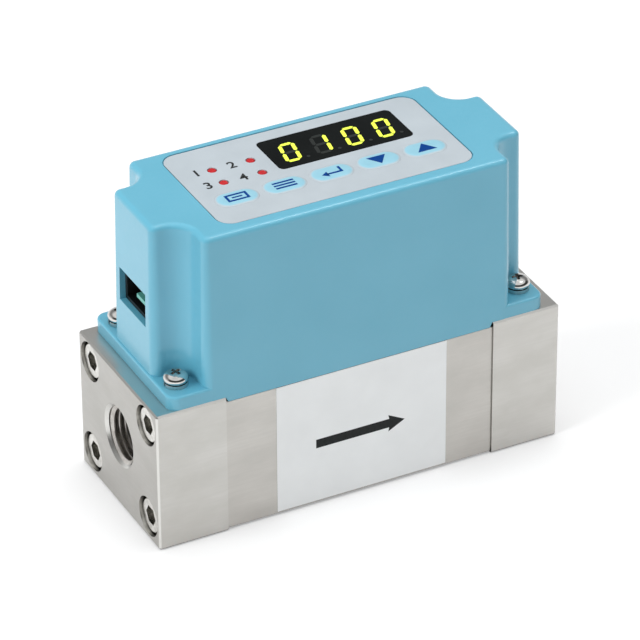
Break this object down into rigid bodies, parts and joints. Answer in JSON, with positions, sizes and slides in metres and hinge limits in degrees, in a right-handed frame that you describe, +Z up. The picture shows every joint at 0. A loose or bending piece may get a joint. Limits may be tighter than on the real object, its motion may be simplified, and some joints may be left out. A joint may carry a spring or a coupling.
{
  "type": "gas mass flow meter",
  "caption": "Inline gas mass flow meter: a steel flow body between ported end blocks under a moulded cover with a lit display, soft keys and a side cable socket.",
  "frame": {"origin": "centre of the underside footprint, on the plane that the end blocks stand on", "axes": "+X along the flow from inlet to outlet, -Y towards the labelled front, +Z up to the panel"},
  "size_m": [0.0974, 0.0392, 0.0738],
  "materials": {
    "block_steel": "fine ground",
    "body_steel": "ground along its length",
    "screw_steel": "bright nickel",
    "sealing_rubber": "matte",
    "inner_steel": "plain",
    "header_plastic": "glass filled, plain",
    "chip_ceramic": "polished",
    "pin_gold": "gold plated",
    "board": "green solder resist",
    "black_plastic": "plain",
    "mint_plastic": "satin",
    "display_face": "black face, diffused segments",
    "lamp_red": "diffused",
    "plunger_plastic": "plain",
    "cover_blue": "moulded satin",
    "panel_film": "printed film, satin",
    "dark_window": "dark clear gloss",
    "label_film": "coated white label"
  },
  "bodies": {
    "meter": {"inlet_block": "block_steel", "outlet_block": "block_steel", "flow_body": "body_steel", "inlet_seal": "sealing_rubber", "outlet_seal": "sealing_rubber", "inlet_block_screws": "screw_steel", "outlet_block_screws": "screw_steel", "inlet_screen": "inner_steel", "screen_spacer": "inner_steel", "flow_straightener": "inner_steel", "outlet_screen": "inner_steel", "sensor_header": "header_plastic", "sensor_chip": "chip_ceramic", "sensor_seal": "sealing_rubber", "sensor_pins": "pin_gold", "sensor_clamp": "inner_steel", "sensor_clamp_screws": "screw_steel", "board_standoffs": "pin_gold", "main_board": "board", "main_board_screws": "screw_steel", "board_packages": "black_plastic", "side_connector": "black_plastic", "connector_contacts": "mint_plastic", "board_link": "black_plastic", "display_board": "board", "display_board_screws": "screw_steel", "led_display": "display_face", "indicator_lamps": "lamp_red", "key_switches": "black_plastic", "housing_cover": "cover_blue", "cover_spring_washers": "screw_steel", "cover_screws": "screw_steel", "overlay_panel": "panel_film", "display_window": "dark_window", "flow_label": "label_film"},
    "key_1": {"key_plunger_1": "plunger_plastic"},
    "key_2": {"key_plunger_2": "plunger_plastic"},
    "key_3": {"key_plunger_3": "plunger_plastic"},
    "key_4": {"key_plunger_4": "plunger_plastic"},
    "key_5": {"key_plunger_5": "plunger_plastic"}
  },
  "joints": [
    {"name": "key_1_press", "type": "slide", "parent": "meter", "child": "key_1", "axis": [0, 0, -1], "range_m": [0, 0.00025], "stiffness_N_per_m": 400},
    {"name": "key_2_press", "type": "slide", "parent": "meter", "child": "key_2", "axis": [0, 0, -1], "range_m": [0, 0.00025], "stiffness_N_per_m": 400},
    {"name": "key_3_press", "type": "slide", "parent": "meter", "child": "key_3", "axis": [0, 0, -1], "range_m": [0, 0.00025], "stiffness_N_per_m": 400},
    {"name": "key_4_press", "type": "slide", "parent": "meter", "child": "key_4", "axis": [0, 0, -1], "range_m": [0, 0.00025], "stiffness_N_per_m": 400},
    {"name": "key_5_press", "type": "slide", "parent": "meter", "child": "key_5", "axis": [0, 0, -1], "range_m": [0, 0.00025], "stiffness_N_per_m": 400}
  ]
}
